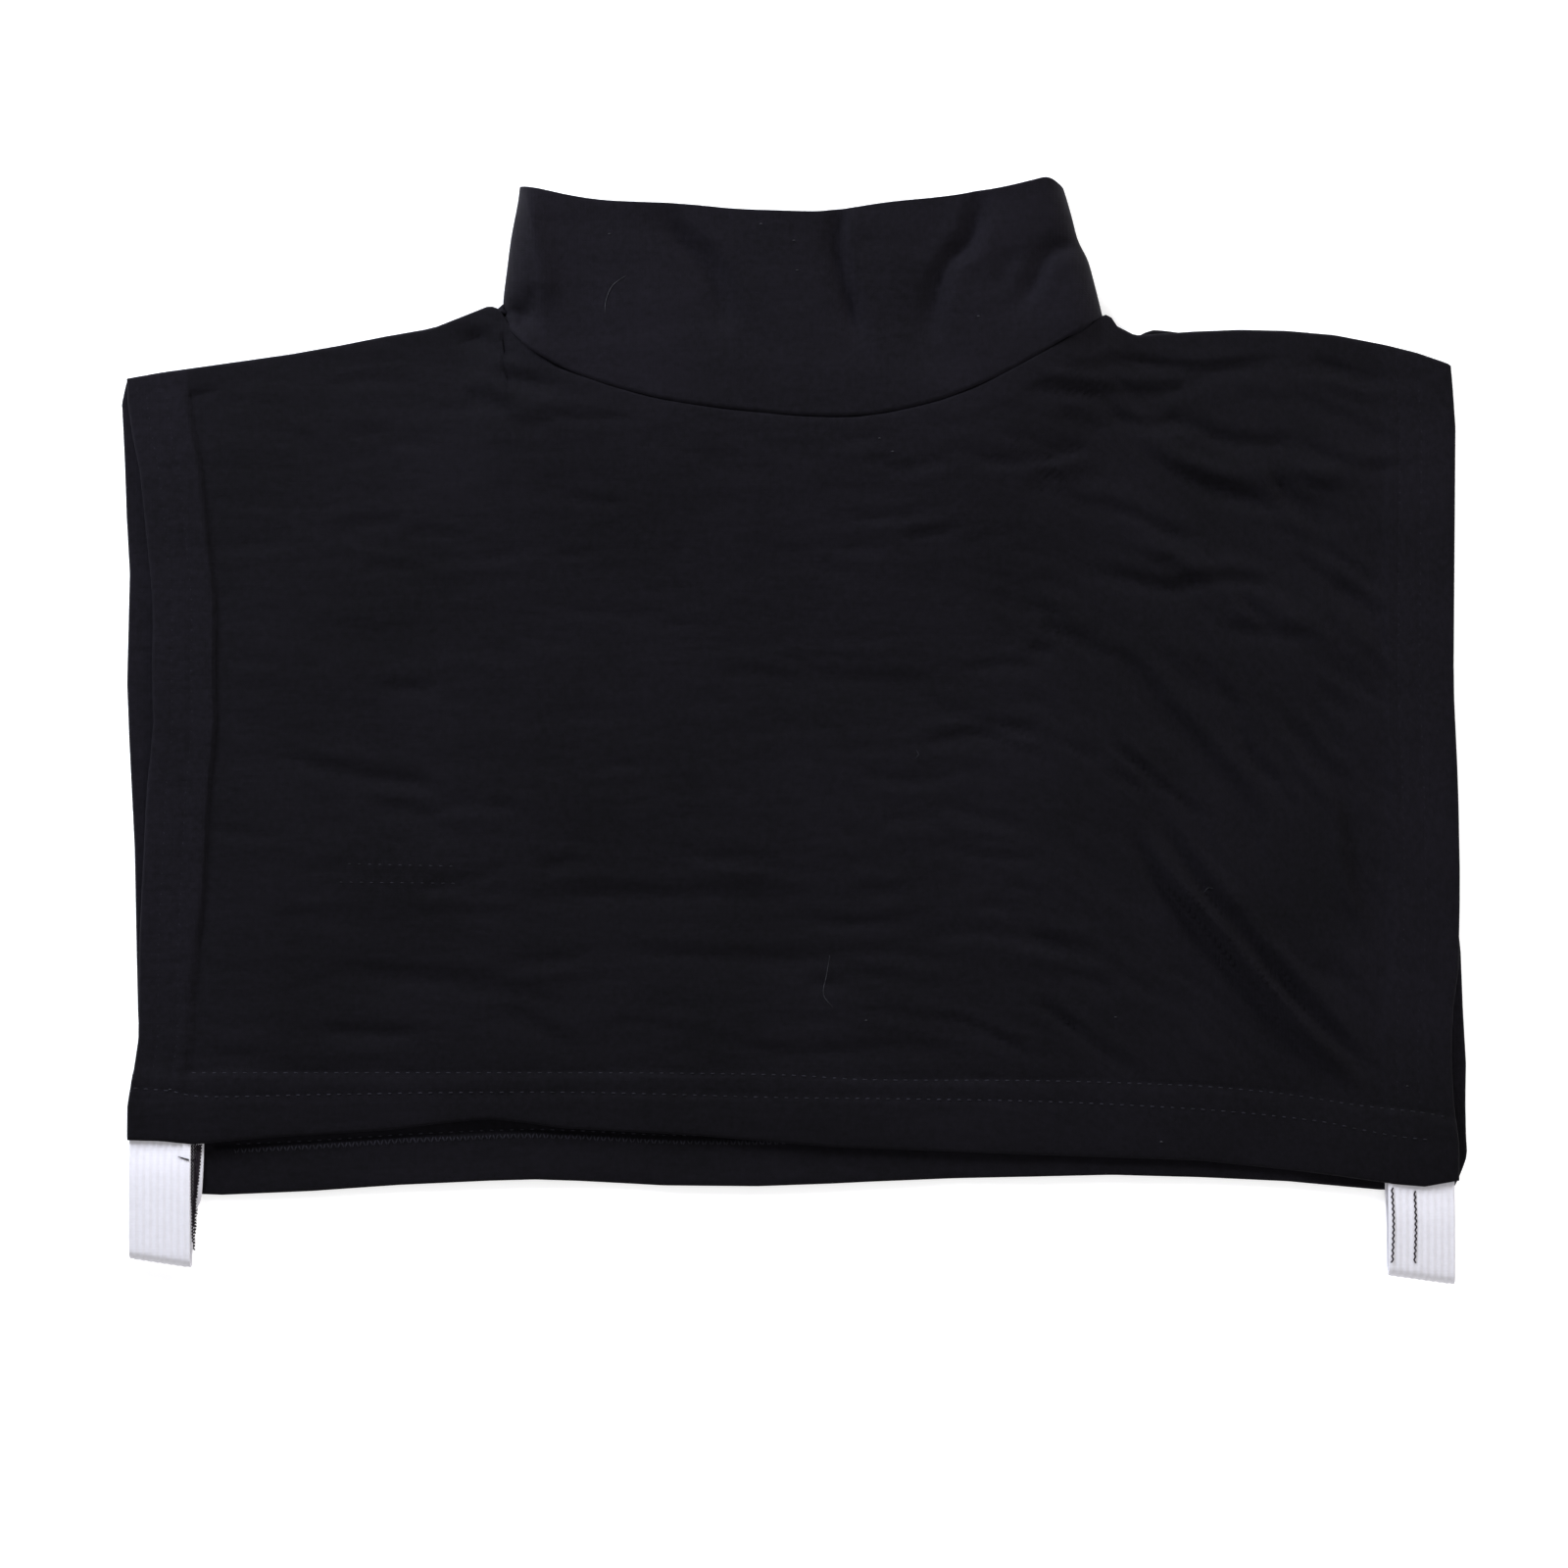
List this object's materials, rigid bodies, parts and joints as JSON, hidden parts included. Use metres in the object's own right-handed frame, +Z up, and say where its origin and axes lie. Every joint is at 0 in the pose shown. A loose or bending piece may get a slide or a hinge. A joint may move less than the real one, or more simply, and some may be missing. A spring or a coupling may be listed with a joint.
{
  "type": "detachable collar",
  "caption": "Black jersey detachable collar, laid flat: a tall doubled neck band on a front and a back bib, joined at the lower corners by white elastic loops.",
  "frame": {"origin": "on the table, under the middle of the outline", "axes": "+X from the wearer's right to the wearer's left, +Y from the bottom hems to the collar, +Z up from the table, out of the front"},
  "size_m": [0.4106, 0.3374, 0.0134],
  "materials": {
    "jersey": "matt fine black jersey knit",
    "elastic": "matt white ribbed elastic"
  },
  "bodies": {
    "root": {"front_panel": "jersey", "back_panel": "jersey", "collar": "jersey", "strap_left": "elastic", "strap_right": "elastic"}
  },
  "joints": []
}
